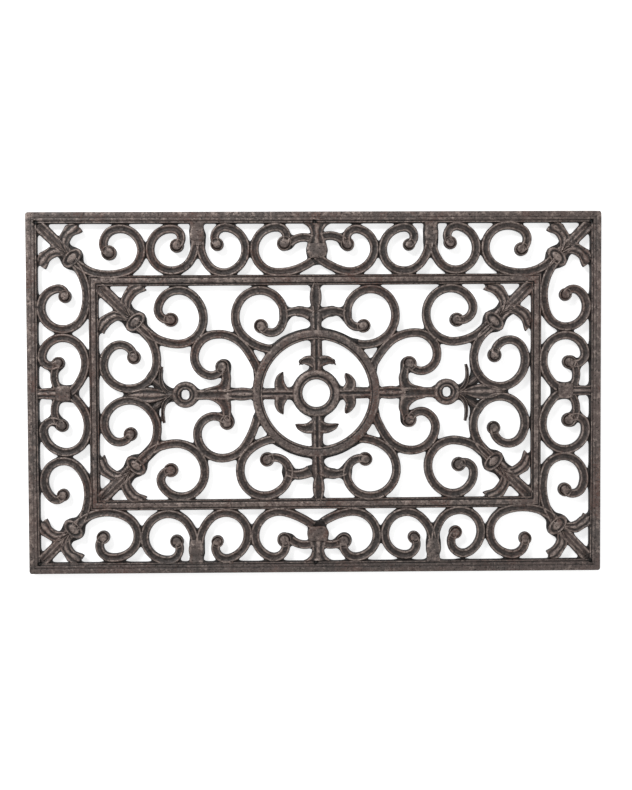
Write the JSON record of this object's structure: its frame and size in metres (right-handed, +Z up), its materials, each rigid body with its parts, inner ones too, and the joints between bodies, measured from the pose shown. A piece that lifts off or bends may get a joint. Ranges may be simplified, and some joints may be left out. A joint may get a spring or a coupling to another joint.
{
  "type": "boot scraper",
  "caption": "Rectangular openwork cast iron doormat of scrollwork that scrapes boots, with a moulded rim, inner frame, central rings and push-in rubber feet.",
  "frame": {"origin": "on the ground under the middle of the mat, level with the soles of its feet", "axes": "+X along the mat's length, +Y across it towards the picture's top edge, +Z up out of its top face"},
  "size_m": [0.72, 0.453, 0.014],
  "materials": {
    "iron": "bare sand-cast skin, brown-grey, with a little rust",
    "rubber": "matt black"
  },
  "bodies": {
    "root": {"scroll_grille": "iron", "foot_back_left": "rubber", "foot_back_middle": "rubber", "foot_back_right": "rubber", "foot_front_left": "rubber", "foot_front_middle": "rubber", "foot_front_right": "rubber"}
  },
  "joints": []
}
